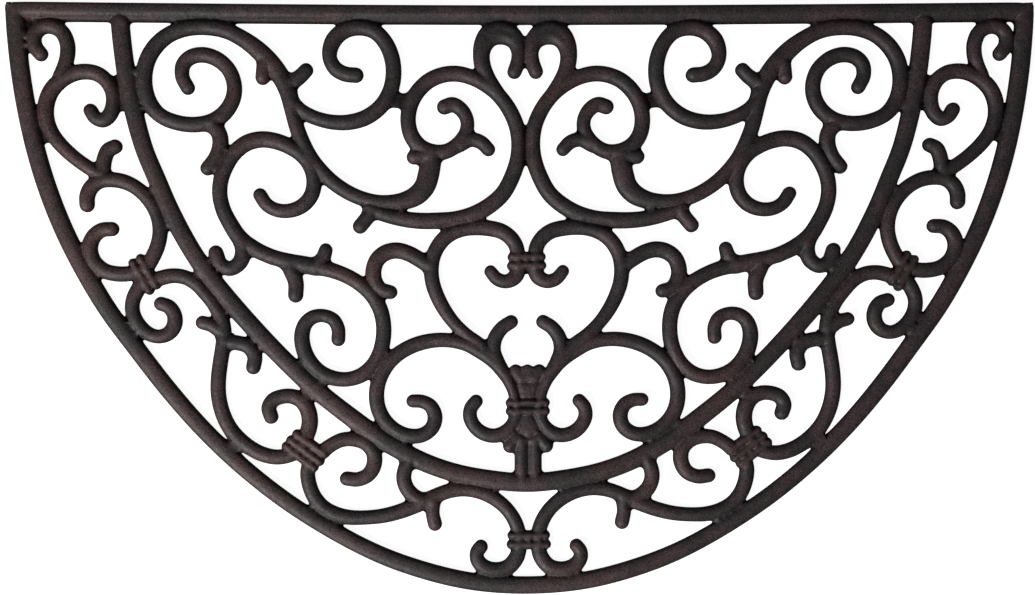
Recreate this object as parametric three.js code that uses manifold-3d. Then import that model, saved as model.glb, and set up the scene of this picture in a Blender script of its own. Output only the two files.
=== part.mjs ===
// Half-round openwork mat, moulded in one piece of rubber: a straight edge, an outer and an inner arc,
// and mirrored scrolls between them. Millimetres, +Z up. X runs along the straight edge, Y towards it,
// and the origin is on the floor under the middle of the mat.

import * as THREE from 'three';
import { mergeVertices } from 'three/addons/utils/BufferGeometryUtils.js';
import Module from 'manifold-3d';

// Driving dimensions
const MAT_DEPTH = 400;
const BAR_HEIGHT = 8;
const RIB_HEIGHT = 9;
const WEB_HEIGHT = 4.5;
const RIB_WIDTH = 5.4;
const FOOT_SPREAD = 0.3;
const CHORD_ERROR = 0.6;
const LONGEST_STEP = 60;
const TIP_STEPS = 2;
const CURVE_STEPS = 24;

// Half sections, from the foot up to the crown: [part of the half width, part of the height]
const SCROLL_SECTION = [[1, 0], [1, 0.5], [0, 1]];
const FRAME_SECTION = [[1, 0], [1, 0.5], [0.62, 1]];
const WEB_SECTION = [[1, 0], [1, 1], [0, 1]];

// Every route below is a smooth curve in the right half of the mat. A row is [across, down, width]:
// across from the middle line, down from the corners of the straight edge.

// The frame, from the middle line to the corner
const FRAME_BARS = {
  straightEdge: [
    [0, 8.1, 11.6], [90, 7.9, 11.6], [180, 7.3, 11.6], [270, 6.5, 11.6], [336, 5.9, 11.6], [345, 5.9, 11],
    [349.9, 6.2, 7.4],
  ],
  outerArc: [
    [0, 394.6, 10.4], [39, 391.6, 10.4], [78, 381.6, 10.4], [111, 368, 10.2], [155.7, 341.6, 10.2],
    [189.8, 315.3, 10.2], [217.7, 288.6, 10.4], [241.1, 261.8, 10.6], [261.9, 234.8, 10.8],
    [281.5, 208.1, 11], [297.3, 181.6, 11.2], [310.8, 154.9, 11.2], [321.6, 128, 11.2],
    [329.9, 101.3, 11.2],
    [336.2, 74, 11.2], [340.8, 47, 11.2], [343.8, 20.4, 11.2], [344.6, 6, 11.6],
  ],
  innerArc: [
    [0, 326, 11.4], [26, 323.6, 11.4], [50, 318.8, 11.4], [72, 310.8, 11.4], [97, 297, 11.6],
    [120, 280.4, 11.4], [142.5, 262.3, 11.2], [165.1, 240.9, 11], [198.5, 204.5, 11.4],
    [222.2, 173.7, 11], [239.5, 142.7, 11.2], [249.4, 119.6, 10.8], [257.6, 99.9, 10.8],
    [264.6, 75, 11.2], [270, 48, 11.2], [273, 26, 11.2], [274.5, 8, 11.4],
  ],
};

// Scrolls and leaves that start at a round tip and end inside another bar
const TIPPED_BARS = {
  // Around the middle of the straight edge
  crownHook: [
    [7.3, 46.8, 8.6], [4.8, 40, 9], [4.2, 33, 9.2], [6.3, 25.8, 11.4], [11, 21.4, 13.8], [17, 19.8, 15.2],
    [23.5, 21.6, 14.4], [28.2, 27.6, 12], [29.8, 35.5, 10.4], [28.6, 44, 10], [24.6, 51.8, 9.2],
    [18.5, 60.2, 9],
  ],
  innerSpiral: [
    [55.2, 71, 9], [49.5, 69.4, 9], [43.5, 73, 8.6], [39.8, 80, 8.2], [40.4, 88, 8.4], [46, 96.2, 8.6],
    [54, 101.3, 9], [63, 101.9, 9.8], [71.5, 98.3, 9.8], [77.4, 91, 9.6], [79.8, 81.5, 9.4],
    [78.7, 71, 9.4],
    [74, 61.3, 9.4], [66, 53.3, 9.4], [56.5, 49.1, 9.4], [47, 48.2, 9.4], [37, 50.5, 9.2],
    [27, 55.6, 9.2],
    [18.2, 63, 9], [11.2, 72.5, 9.2], [6.3, 83.7, 9.4], [4.5, 95, 9.6], [5.4, 106.5, 9.8],
    [9.5, 118.8, 9.8],
    [15.8, 130.2, 9.8], [24.8, 138.3, 10], [36, 144.4, 10], [48, 147.7, 10], [60, 148.6, 10],
    [72, 148.6, 9.8],
    [84, 147.2, 9.4], [95, 144.5, 9], [106, 140.5, 9],
  ],
  innerLeaf: [[25.4, 100.1, 8], [30.5, 95.1, 8.4], [37.5, 93.4, 8.6], [45, 97, 8.8]],
  stemStub: [[76, 105.2, 8.8], [66, 104.5, 10]],
  lowerTwig: [[112.6, 152.2, 8.8], [108.3, 147, 8.8], [103.5, 141, 9]],

  // Between the middle and the upper large scroll
  upperHook: [
    [115, 49.2, 9], [122.5, 48.3, 9], [129.3, 44.3, 9], [133, 36, 8.8], [130.4, 25.5, 10],
    [122.8, 18.6, 9.8], [113, 16.5, 9.4], [103, 18.8, 9.4], [95.6, 26, 9.4], [90.9, 36.5, 9.6],
    [89.6, 48, 9.6], [91.9, 60, 9.6], [98.5, 70.7, 9.4], [108.5, 78.1, 9.4], [120, 81.3, 9.2],
    [131, 81.2, 8.8],
    [142, 78.5, 8.4], [152, 73.5, 8.6], [158, 68, 9],
  ],
  stemTwig: [[148.8, 45.8, 8.4], [152.8, 50, 8.8], [159.5, 54.5, 10]],
  stemLobe: [[178.2, 50.8, 8.6], [176.8, 42, 10]],

  // The upper large scroll, which runs on into the long stem and ends under the inner spiral
  upperSpiral: [
    [228.7, 57.6, 8.4], [232.4, 50, 8.4], [231.8, 42, 8.6], [226.5, 36.7, 8.8], [218, 35.2, 9.2],
    [208.8, 38.2, 9.2], [201, 45.5, 9], [197.4, 55.5, 9], [198.2, 65, 9.2], [203.2, 74, 9.4],
    [211.5, 80.2, 9.4], [223, 82.7, 9.2], [236, 81.3, 9.2], [247.6, 76.1, 9.2], [255.1, 66.5, 9.8],
    [258.1, 54, 9.8], [256.5, 40.5, 9.8], [250.6, 29.6, 9.8], [241, 21.3, 9.4], [229, 17, 9.4],
    [216, 16.2, 9.6], [203, 18.6, 9.6], [191.5, 24.3, 10], [181.5, 31.8, 11.2], [173, 40.5, 11.8],
    [166, 50, 11.4], [161, 60.5, 11], [158.3, 72, 9.8], [155.7, 83, 9.2], [152.1, 93, 9.2],
    [145.9, 105.3, 9.2], [138.6, 114.8, 9.2], [130.1, 122.8, 9], [120.5, 129.2, 8.8], [111, 133.4, 8.8],
    [101.5, 135.8, 9], [91.5, 136.1, 9.4], [82, 134.7, 10.8], [74, 131, 12.4], [68.7, 125, 13],
    [66.3, 117.5, 13.4], [64.8, 110, 13], [63, 103, 11],
  ],
  birdNeck: [
    [215.3, 112.5, 8.4], [209.6, 105.2, 9], [206.7, 96.5, 9.6], [207.6, 89, 9.6], [212.5, 82.5, 10],
  ],

  // The hook in the middle of the right side, which runs down into the long branch
  middleHook: [
    [179.9, 130.8, 8.2], [175.4, 137.3, 8.2], [168.5, 141, 8.2], [160, 141.4, 8.4], [151.4, 138, 8.8],
    [145.4, 130.8, 9], [143.6, 121, 9.2], [146, 111.5, 9.2], [152, 103.3, 9.4], [160.5, 97.6, 9.6],
    [169.5, 94.1, 9.8], [179, 92.9, 9.8], [189, 95.4, 9.8], [197.4, 102.2, 9.4], [203.1, 111.3, 9.2],
    [206.5, 121, 9], [207, 131, 9], [204.6, 141, 9.2], [199.8, 150.5, 9.6], [193.4, 160, 10],
    [184, 167, 9.8], [172, 173, 9],
  ],
  returnHook: [
    [209.6, 169.6, 8.6], [206.6, 177.2, 8.8], [200, 180.4, 8.8], [193.5, 176.2, 9.2], [191.3, 168, 9.8],
    [193.4, 160, 10],
  ],
  branch: [
    [127.5, 228.6, 8.2], [127.5, 221.5, 8], [130.7, 215.4, 8], [137, 212.6, 7.8], [144, 213.3, 8.2],
    [149.4, 217.6, 8.6], [151.9, 225.1, 9.2], [150.9, 234.4, 9.4], [147, 243, 9.4], [140.3, 250.2, 9.2],
    [131, 254.6, 9], [121, 255.5, 8.8], [111.8, 252.7, 9], [104, 246, 9.2], [99.3, 237, 9.2],
    [97.1, 227, 9.2], [97.2, 217, 9.2], [99.6, 207.5, 9.4], [104.8, 198.7, 9.4], [112.3, 191.6, 9.2],
    [121, 186.2, 9], [130, 182.5, 9.2], [140, 179.8, 10], [150, 178.2, 10.8], [161, 176, 10.2],
    [171, 172.8, 9], [181, 168.5, 9.2], [191, 163, 9.6],
  ],
  branchTwig: [[135.8, 168.2, 8], [137.6, 173.5, 8.8], [143, 180, 10]],
  branchLeaf: [[156.1, 198.6, 9], [156, 190, 9.4], [159.5, 180, 10.4]],

  // The lower heart and the loop beside it
  heartHook: [[24.5, 183.3, 7.4], [20, 188.4, 8], [13.8, 190, 8.4], [7.8, 187, 9.2], [5, 180, 9.4]],
  heartLeaf: [
    [10.8, 217.5, 8.2], [16.8, 221.4, 8.4], [21.7, 228.4, 8.8], [22.8, 237, 8.8], [19.5, 246, 8.6],
  ],
  loop: [
    [92.2, 196.9, 8.2], [99, 195, 9.2], [102.8, 189.6, 9.6], [103.7, 182.3, 9.6], [101.1, 174.8, 9.6],
    [95.4, 170.2, 9.8], [88, 168.7, 9.8], [80.3, 170.6, 9.6], [73, 174.6, 9.6], [65, 180, 9.4],
  ],
  lowerSpiral: [
    [77.4, 270.5, 7.8], [71.5, 270.8, 8], [65.6, 273.9, 8.4], [62.6, 280.8, 9], [64.5, 288.4, 8.8],
    [71, 293.3, 8.8], [79.5, 293.9, 8.8], [88.3, 290.8, 9], [95.9, 284.3, 9.2], [100.7, 275.3, 9.2],
    [101.9, 265, 9.2], [99.6, 254.5, 9.2], [93.7, 244.6, 9.2], [85, 237.2, 9], [74, 232, 9],
    [62, 229.6, 8.8], [50.5, 230, 8.6], [40.5, 232.8, 8.4], [32, 237.6, 8], [25.5, 242.5, 7.4],
  ],
  anchorHook: [
    [34.9, 271, 8], [38.3, 275.3, 8.2], [39, 281.5, 8.4], [36, 287.9, 8.4], [30.5, 292.4, 8.6],
    [23, 294.3, 8.6], [15.2, 292, 9], [9.6, 286.5, 9], [7.4, 279, 9],
  ],
  anchorLeaf: [[12.2, 301.2, 8.4], [6.6, 294, 9]],

  // The lowest scrolls, under the inner arc
  footHook: [
    [32.2, 368.6, 8.2], [34.7, 372, 8.4], [34.7, 377, 8.6], [30.2, 382.2, 9.2], [22.5, 384.4, 9.4],
    [14.1, 382.5, 9.4], [8.4, 376.2, 9.4], [6.4, 368, 9], [6.7, 360, 8.8], [9.2, 351.8, 8.6],
    [14.4, 343.8, 8.4], [22, 337.1, 8.6], [31.5, 332.3, 8.6], [42, 330.1, 8.6], [52, 330.8, 8.8],
    [60.5, 333.5, 8.8], [68.5, 337.3, 9.4], [77, 341, 9.4], [87, 344.7, 9], [98.5, 347.4, 8.6],
    [111, 348.4, 8.4], [121, 348, 8.8], [130, 345.7, 9], [138.2, 341, 9], [144, 333.8, 8.8],
    [147.4, 325, 8.8], [148.1, 316.5, 8.8], [145, 308, 9],
  ],
  footTwig: [[63, 353, 8.4], [64.5, 346, 8.2], [64, 337, 9]],

  // Scrolls of the border's middle panel, bound by three ribs
  leftBandHook: [
    [122, 322.2, 8.4], [114.5, 322.8, 8.6], [107.3, 319.5, 8.8], [103.6, 312.5, 9.2], [104.2, 304.4, 9.2],
    [109.2, 298.6, 9], [117, 295.9, 8.8], [125, 296.2, 8.6], [132, 299.4, 8.4], [139, 304.5, 9],
  ],
  rightBandHook: [
    [172.6, 280.3, 8.6], [174.2, 274.6, 8.8], [171.5, 269.4, 8.8], [165.5, 266.9, 8.8], [158.4, 266.8, 9],
    [152, 269.9, 9.6], [148, 276, 9.8], [146.7, 283.5, 9.8], [148.1, 291, 9.6], [151.5, 298.5, 9],
  ],
  borderNeck: [[218.4, 216.8, 8.2], [211.8, 218.8, 8.6], [205, 223.7, 9.2]],
  borderLeaf: [
    [184.5, 247, 8.6], [183.6, 239.8, 8.8], [187.6, 233.2, 9], [195, 230.6, 9], [203.5, 230, 9.6],
  ],

  // Scrolls of the border's upper panel, bound by two ribs
  upperBandSpiral: [
    [246.2, 204, 8.4], [241, 206, 8.6], [237.4, 211.5, 8.8], [237.3, 218.2, 9], [241, 223.8, 8.6],
    [248, 226, 8.2], [255.4, 223.5, 8.4], [261.5, 217.5, 8.6], [265, 210, 8.4], [265.2, 202.3, 8.4],
    [262.2, 195, 8.8], [256.5, 187, 9],
  ],
  upperBandHook: [
    [279.2, 153.4, 8.4], [285.8, 154, 8.6], [291.5, 158.5, 9], [294, 166.5, 9.4], [291.4, 175.2, 9.4],
    [284.5, 181.3, 9.2], [276, 183.6, 9.2], [267, 183.4, 9], [259, 180.7, 9],
  ],
  neckHook: [
    [295.9, 137, 8.8], [295.8, 130.8, 9], [292.9, 124.8, 9], [287.3, 120.8, 9], [279.5, 120, 9],
    [271, 121.5, 9], [263.3, 125.4, 8.8], [256.6, 131.3, 8.8], [251.1, 139, 8.8], [247.9, 147.5, 8.8],
    [247.1, 156.5, 8.8], [249.1, 166, 8.8], [253.2, 174.8, 8.8], [258, 182, 9],
  ],
  neckLeaf: [[277.2, 97.6, 8.4], [282, 100.3, 8.8], [284.6, 107, 8.8], [285.5, 116, 9]],
  borderSpiral: [
    [293.7, 73.3, 8.4], [290.6, 77.9, 8.4], [285.5, 79.6, 8.6], [280.9, 76, 8.8], [278.6, 69, 8.8],
    [279.2, 60.5, 8.8], [283.5, 52.6, 9], [290, 47.9, 9.2], [297.6, 46.6, 9.2], [306.1, 48.1, 9.4],
    [314.1, 52.7, 9.6], [320.5, 60, 9.6], [323.6, 69, 9.6], [323.4, 78.5, 9.2], [320.1, 87.6, 8.8],
    [313.9, 96.1, 8.6], [306, 103.7, 8.4], [297.6, 110.1, 8.4], [287.2, 116.5, 8.8],
  ],
  cornerHook: [
    [327.4, 34.6, 8.6], [331.4, 29, 8.8], [331.8, 22.2, 8.8], [327.6, 16.9, 8.8], [320.5, 15.6, 9],
    [313.4, 19.5, 9], [309.7, 27.5, 8.8], [309.6, 36, 8.6], [311.5, 43, 8.2], [314.5, 49.5, 7.6],
  ],
};

// Bars with both ends inside other bars
const JOINING_BARS = {
  heart: [
    [6, 182, 9], [6, 172, 9], [7.3, 165.5, 9], [11.1, 160, 9.2], [17, 155.9, 9.4], [25, 153.9, 9.6],
    [33, 153.2, 9.6], [42, 153.8, 9.6], [51.1, 157.2, 9.4], [58.3, 163.4, 9.2], [63, 172, 9],
    [64.6, 181, 9], [63.8, 190.5, 9], [60.5, 200.2, 8.8], [55.4, 209.8, 8.4], [48.9, 218.5, 7.8],
    [41, 226, 7.6], [32.6, 232.4, 8.2], [25.2, 239.2, 8.2], [18.7, 247.2, 8], [13.4, 256, 7.4],
    [9.4, 264.5, 7.2], [7.4, 274, 8],
  ],
  borderScroll: [
    [254, 189.5, 9], [247, 186.8, 9], [239, 185.1, 8.8], [231, 186, 8.8], [223.6, 190, 8.6],
    [216.7, 197, 8.6],
    [210.5, 205, 8.6], [206, 214, 8.8], [204.2, 223, 9], [204.8, 232, 9], [206.5, 243, 9],
    [207.8, 253.5, 9], [208, 263, 9], [206.7, 272, 9], [203.9, 280.6, 9], [199.7, 288.4, 9],
    [193.8, 295.2, 9], [186.8, 300.9, 9], [178.5, 305.3, 9], [168.5, 307.4, 9], [158.5, 305.4, 9],
    [150.5, 300, 9],
  ],
  dropHook: [
    [79, 309, 9], [82.8, 316, 9], [83.8, 322.5, 9], [81.5, 329.5, 9], [75.3, 335.5, 9.2], [67, 338, 9],
  ],
  stem: [[4.3, 297, 8.4], [4.4, 309, 8.4], [4.3, 324, 8.4]],
};

// Short wide bars on the middle line: the shield under the vase and its middle petal
const MIDDLE_BARS = {
  shield: [[0, 279, 10], [0, 285, 14], [0, 291.5, 17], [0, 297.5, 6]],
  middlePetal: [[0, 251, 8.4], [0, 270, 8]],
};
const SIDE_PETALS = {
  petal: [[8.8, 251.2, 8.6], [6.8, 260, 8], [5, 271, 7]],
};

// Low webs that fill the narrow gaps between two bars
const WEBS = {
  bridge: [[80, 67, 9], [92, 66, 9]],
  spiralWeb: [[277, 53, 5], [275.4, 62, 5], [274, 70.5, 4]],
  outerWeb: [[329.4, 73, 4], [328.4, 82, 5], [324.5, 92, 4]],
};

// Ribs of the bands that bind the scrolls: [across, down] of both ends
const RIBS = [
  [[-12.4, 173.5], [12.4, 173.5]],
  [[-12.8, 179.4], [12.8, 179.4]],
  [[-14.4, 272.2], [14.4, 272.2]],
  [[-14.4, 277.8], [14.4, 277.8]],
  [[-13.8, 361.2], [13.8, 361.2]],
  [[-14.4, 367.3], [14.4, 367.3]],
];
const SIDE_RIBS = [
  [[261, 171.2], [248.2, 193.4]],
  [[266, 174.2], [252.7, 197]],
  [[157.4, 290.5], [134.6, 307]],
  [[161.4, 294.5], [138, 312]],
  [[164.4, 298.5], [142, 316]],
];

const rubber = new THREE.MeshStandardMaterial({ color: 0x35322f, roughness: 0.85, metalness: 0 });

const wasm = await Module();
wasm.setup();

// A route through the rows: each place has its position, its heading and the bar's half width.
function route(rows) {
  const nodes = rows.map(([across, down, width]) => (
    new THREE.Vector3(across, MAT_DEPTH / 2 - down, width / 2 + FOOT_SPREAD)
  ));
  const curve = new THREE.CatmullRomCurve3(nodes, false, 'centripetal');
  const points = curve.getPoints((rows.length - 1) * CURVE_STEPS);
  return points.map((point, i) => {
    const ahead = points[Math.min(i + 1, points.length - 1)];
    const behind = points[Math.max(i - 1, 0)];
    const heading = new THREE.Vector2(ahead.x - behind.x, ahead.y - behind.y).normalize();
    return { x: point.x, y: point.y, halfWidth: point.z, heading };
  });
}

// The places that the bar needs a section at. Each straight piece between two of them cuts inside the
// curve, so they stand out from it by two thirds of that gap, and the piece lies half in and half out.
function stations(places) {
  const kept = [{ ...places[0], gap: 0 }];
  let turn = 0;
  let run = 0;
  for (let i = 1; i < places.length; i += 1) {
    const here = places[i];
    const before = places[i - 1];
    run += Math.hypot(here.x - before.x, here.y - before.y);
    turn += before.heading.cross(here.heading);
    const gap = (turn * run) / 8;
    if (Math.abs(gap) > CHORD_ERROR || run > LONGEST_STEP || i === places.length - 1) {
      kept[kept.length - 1].gap += gap / 2;
      kept.push({ ...here, gap: gap / 2 });
      turn = 0;
      run = 0;
    }
  }
  return kept.map(({ x, y, halfWidth, heading, gap }) => ({
    x: x + heading.y * gap * (2 / 3),
    y: y - heading.x * gap * (2 / 3),
    halfWidth,
    heading,
  }));
}

// One section across the bar, foot to foot over the crown. A lean of 0 is square to the bar, and towards
// 90 degrees each point swings forward around the station, which rounds a tip.
function ring(station, section, height, lean) {
  const half = section.map(([side, up]) => [side * station.halfWidth, up * height]);
  const leftToRight = [
    ...half,
    ...half.filter(([side]) => side > 0).reverse().map(([side, up]) => [-side, up]),
  ];
  const { x, y, heading } = station;
  return leftToRight.map(([side, up]) => {
    const across = side * Math.cos(lean);
    const forward = Math.abs(side) * Math.sin(lean);
    return [
      x - heading.y * across + heading.x * forward,
      y + heading.x * across + heading.y * forward,
      up,
    ];
  });
}

// A closed solid through the rings, with a flat end where the last ring is open.
function solidThrough(rings) {
  const size = rings[0].length;
  const triangles = [];
  for (let i = 0; i + 1 < rings.length; i += 1) {
    for (let k = 0; k < size; k += 1) {
      const next = (k + 1) % size;
      const a = i * size + k;
      const b = i * size + next;
      const c = (i + 1) * size + next;
      const d = (i + 1) * size + k;
      triangles.push([a, b, c], [a, c, d]);
    }
  }
  const last = (rings.length - 1) * size;
  for (let k = 1; k + 1 < size; k += 1) {
    triangles.push([0, k + 1, k], [last, last + k, last + k + 1]);
  }
  const geometry = new THREE.BufferGeometry();
  geometry.setAttribute('position', new THREE.Float32BufferAttribute(rings.flat(2), 3));
  geometry.setIndex(triangles.flat());
  const merged = mergeVertices(geometry, 1e-4);
  const index = Array.from(merged.index.array);
  const sound = [];
  for (let i = 0; i < index.length; i += 3) {
    const [a, b, c] = index.slice(i, i + 3);
    if (a !== b && b !== c && c !== a) sound.push(a, b, c);
  }
  return new wasm.Manifold(new wasm.Mesh({
    numProp: 3,
    vertProperties: new Float32Array(merged.attributes.position.array),
    triVerts: new Uint32Array(sound),
  }));
}

// A bar through stations. Its start can be a round tip.
function barThrough(places, { section = SCROLL_SECTION, height = BAR_HEIGHT, roundStart = false } = {}) {
  const rings = places.map((place) => ring(place, section, height, 0));
  if (roundStart) {
    for (let i = 1; i <= TIP_STEPS; i += 1) {
      rings.unshift(ring(places[0], section, height, (-i / TIP_STEPS) * (Math.PI / 2)));
    }
  }
  return solidThrough(rings);
}

const mirrored = (rows) => rows.map(([across, ...rest]) => [-across, ...rest]);
const ribRows = (ends) => ends.map(([across, down]) => [across, down, RIB_WIDTH]);
const bar = (rows, options) => barThrough(stations(route(rows)), options);
const both = (rows, options) => [bar(rows, options), bar(mirrored(rows), options)];

// A bar of the frame, whose rows start on the middle line: its left half mirrors the right one.
function frameBar(rows) {
  const whole = route([...mirrored(rows.slice(1)).reverse(), ...rows]);
  const right = stations(whole.slice((whole.length - 1) / 2));
  const left = right.slice(1).reverse().map(({ x, y, halfWidth, heading }) => ({
    x: -x,
    y,
    halfWidth,
    heading: new THREE.Vector2(heading.x, -heading.y),
  }));
  return barThrough([...left, ...right], { section: FRAME_SECTION });
}

function matSolid() {
  const pieces = [
    ...Object.values(FRAME_BARS).map(frameBar),
    ...Object.values(TIPPED_BARS).flatMap((rows) => both(rows, { roundStart: true })),
    ...Object.values(JOINING_BARS).flatMap((rows) => both(rows)),
    ...Object.values(MIDDLE_BARS).map((rows) => bar(rows, { roundStart: true })),
    ...Object.values(SIDE_PETALS).flatMap((rows) => both(rows, { roundStart: true })),
    ...Object.values(WEBS).flatMap((rows) => both(rows, { section: WEB_SECTION, height: WEB_HEIGHT })),
    ...RIBS.map((ends) => bar(ribRows(ends), { height: RIB_HEIGHT })),
    ...SIDE_RIBS.flatMap((ends) => both(ribRows(ends), { height: RIB_HEIGHT })),
  ];
  return pieces.reduce((whole, piece) => whole.add(piece));
}

function meshOf(solid, name, material) {
  const { vertProperties, triVerts } = solid.getMesh();
  const geometry = new THREE.BufferGeometry();
  geometry.setAttribute('position', new THREE.BufferAttribute(vertProperties, 3));
  geometry.setIndex(new THREE.BufferAttribute(triVerts, 1));
  geometry.computeVertexNormals();
  const mesh = new THREE.Mesh(geometry, material);
  mesh.name = name;
  return mesh;
}

const mat = new THREE.Group();
mat.add(meshOf(matSolid(), 'mat', rubber));

export default mat;
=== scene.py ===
import math

import bpy
import numpy as np
from mathutils import Matrix, Vector, geometry, kdtree


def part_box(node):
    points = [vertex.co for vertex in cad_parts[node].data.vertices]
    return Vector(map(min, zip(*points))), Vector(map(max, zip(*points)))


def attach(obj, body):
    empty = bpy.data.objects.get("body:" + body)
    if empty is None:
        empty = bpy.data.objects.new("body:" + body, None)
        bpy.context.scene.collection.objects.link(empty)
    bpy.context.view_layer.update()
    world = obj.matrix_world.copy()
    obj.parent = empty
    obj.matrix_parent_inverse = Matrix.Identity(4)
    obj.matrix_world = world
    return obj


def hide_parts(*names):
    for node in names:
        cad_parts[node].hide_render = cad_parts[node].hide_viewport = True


# Half-round openwork mat of moulded rubber. The frame gives its place and its height, and the fine
# mesh here follows the same routes of bars, with rounded crowns, valleys where bars touch and
# softened inner corners.
# Lengths are in millimetres until the mesh is written in metres.

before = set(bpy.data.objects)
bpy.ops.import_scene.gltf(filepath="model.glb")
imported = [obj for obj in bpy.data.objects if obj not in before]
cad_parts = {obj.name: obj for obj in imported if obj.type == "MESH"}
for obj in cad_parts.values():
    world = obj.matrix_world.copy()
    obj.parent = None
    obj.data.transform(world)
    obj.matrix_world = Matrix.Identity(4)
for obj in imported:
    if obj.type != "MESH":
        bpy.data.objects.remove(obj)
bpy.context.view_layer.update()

MM = 0.001
MAT_DEPTH = 400

# Heights. A bar's sides stand straight up to its shoulder and round over from there.
RIB_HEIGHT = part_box("mat")[1][2] / MM
BAR_HEIGHT = RIB_HEIGHT - 1
SHOULDER = 0.32
FILL_HEIGHT = 2.4
RIB_WIDTH = 5.4
FOOT_SPREAD = 0.6

# How round a crown is: 2 is half an ellipse, and more is flatter on top
EDGE_ROUNDNESS = 3.4
ARC_ROUNDNESS = 2.6
SCROLL_ROUNDNESS = 2.2
WEB_HEIGHT = 3.4
POCKET_HEIGHT = 2.6
PANEL_HEIGHT = 6.6
PETAL_HEIGHT = 7.2

# The straight edge has a lower ledge along its inner side
LEDGE = 2.8
LEDGE_HEIGHT = 5.6

# Near the middle line the left half's bars reach over to the right one
MIDDLE_ZONE = 24

# How crisp things are
CORNER_BLEND = 3.6
VALLEY_BLEND = 1.6
FILL_BLEND = 0.3
FAR = 60.0

# A crease of this depth lies where two crowns meet. It fades where they meet near their full height.
CREASE = 2.4
CREASE_WIDTH = 2.2
CREASE_FADE = 2

# The photo's camera
CAMERA_TILT = 3.0
CAMERA_YAW = -2.23
CAMERA_ROLL = -0.42
CAMERA_DISTANCE = 1293
CAMERA_AIM = (-6.3, -0.9, 0)
CAMERA_LENS = 66.3

# Light: the key stands front left, and the floor glows a little so that it stays pale
KEY = 29
KEY_PLACE = (-0.82, -0.85, 0.95)
KEY_SIZE = (0.7, 0.55)
SKY = 0.10
FLOOR_GLOW = 0.92
FLOOR_REACH = 6
FLOOR_DROP = 0.0002

# Colours
GREY_GREEN = (0.023, 0.0215, 0.0205)
CHARCOAL = (0.0255, 0.020, 0.0212)
DUSKY_PINK = (0.041, 0.026, 0.028)
RUST = (0.057, 0.030, 0.027)
# Painted shade: the dark brown that the low places, the bars' sides and the valleys between them, are
# mixed towards
PAINTED_SHADE_BROWN = (0.004, 0.0025, 0.0025)

# How strongly the rubber shines in the low places and on top, less low down as painted shade, and how
# rough it is from spot to spot
SHEEN = (0.02, 0.32)
ROUGHNESS = (0.46, 0.66)

# Rust is commoner towards the front left, and this is how much its noise rises per metre
WARM_SIDE = (-0.36, -0.26, 0)
RUST_SEED = 2.6
RIB_RUST = 0.55

# The noises, in waves per metre
PATCH_NOISE = 30
RUST_NOISE = 14
BLOTCH_NOISE = 110
GRAIN_NOISE = 1300
ROUGH_NOISE = 240
FINE_BUMP_NOISE = 1000
WIDE_BUMP_NOISE = 150

# The rubber's painted shade is darkest below the low place, and it has its own colour from the high
# place up, in metres
LOW_PLACE = 0.0015
HIGH_PLACE = 0.0056
RIB_TOPS = (0.0079, 0.0084)

# The grid that finds the outline reaches this far from the middle, and past the mat in depth
GRID_STEP = 1.0
GRID_REACH = 355
GRID_MARGIN = 4
SMALLEST_LOOP = 12

# How close the points are along a route and along the outline, and how far the rings lie inside it
ROUTE_STEP = 1.2
FINE_STEP = 0.5
EDGE_STEP = 2.0
EDGE_TURN = math.radians(12)
EDGE_RINGS = (0.25, 0.9, 1.8)

# Inside, a wide lattice, and a close one where the top bends up by more than this in a grid step
LATTICE_STEP = 1.8
LATTICE_INSET = 0.9
VALLEY_STEP = 0.68
VALLEY_BEND = 0.5
VALLEY_INSET = 1.0

# Points closer to the edge's own than these shares of the step or the inset are left out
RING_CLEARANCE = 0.8
LATTICE_CLEARANCE = 0.6

# The heights are evened out over this reach, this many times
SOFT_REACH = 0.9
SOFT_PASSES = 2

# The frame, from the middle line to the corner
FRAME_BARS = {
    "straightEdge": [
        [0, 8.1, 11.6], [90, 7.9, 11.6], [180, 7.3, 11.6], [270, 6.5, 11.6], [336, 5.9, 11.6],
        [343, 5.9, 11.4], [347.1, 4, 7.4], [349, 2, 3.6],
    ],
    "outerArc": [
        [0, 394.6, 10.4], [39, 391.6, 10.4], [78, 381.6, 10.4], [111, 368, 10.2], [155.7, 341.6, 10.2],
        [189.8, 315.3, 10.2], [217.7, 288.6, 10.4], [241.1, 261.8, 10.6], [261.9, 234.8, 10.8],
        [281.5, 208.1, 11], [297.3, 181.6, 11.2], [310.8, 154.9, 11.2], [321.6, 128, 11.2],
        [329.9, 101.3, 11.2], [336.2, 74, 11.2], [340.8, 47, 11.2], [343.8, 20.4, 11.2],
        [344.6, 6, 11.6],
    ],
    "innerArc": [
        [0, 326, 11.4], [26, 323.6, 11.4], [50, 318.8, 11.4], [72, 310.8, 11.4], [97, 297, 11.6],
        [120, 280.4, 11.4], [142.5, 262.3, 11.2], [165.1, 240.9, 11], [198.5, 204.5, 11.4],
        [222.2, 173.7, 11], [239.5, 142.7, 11.2], [249.4, 119.6, 10.8], [257.6, 99.9, 10.8],
        [264.6, 75, 11.2], [270, 48, 11.2], [273, 26, 11.2], [274.3, 12.6, 11.2],
    ],
}

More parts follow.
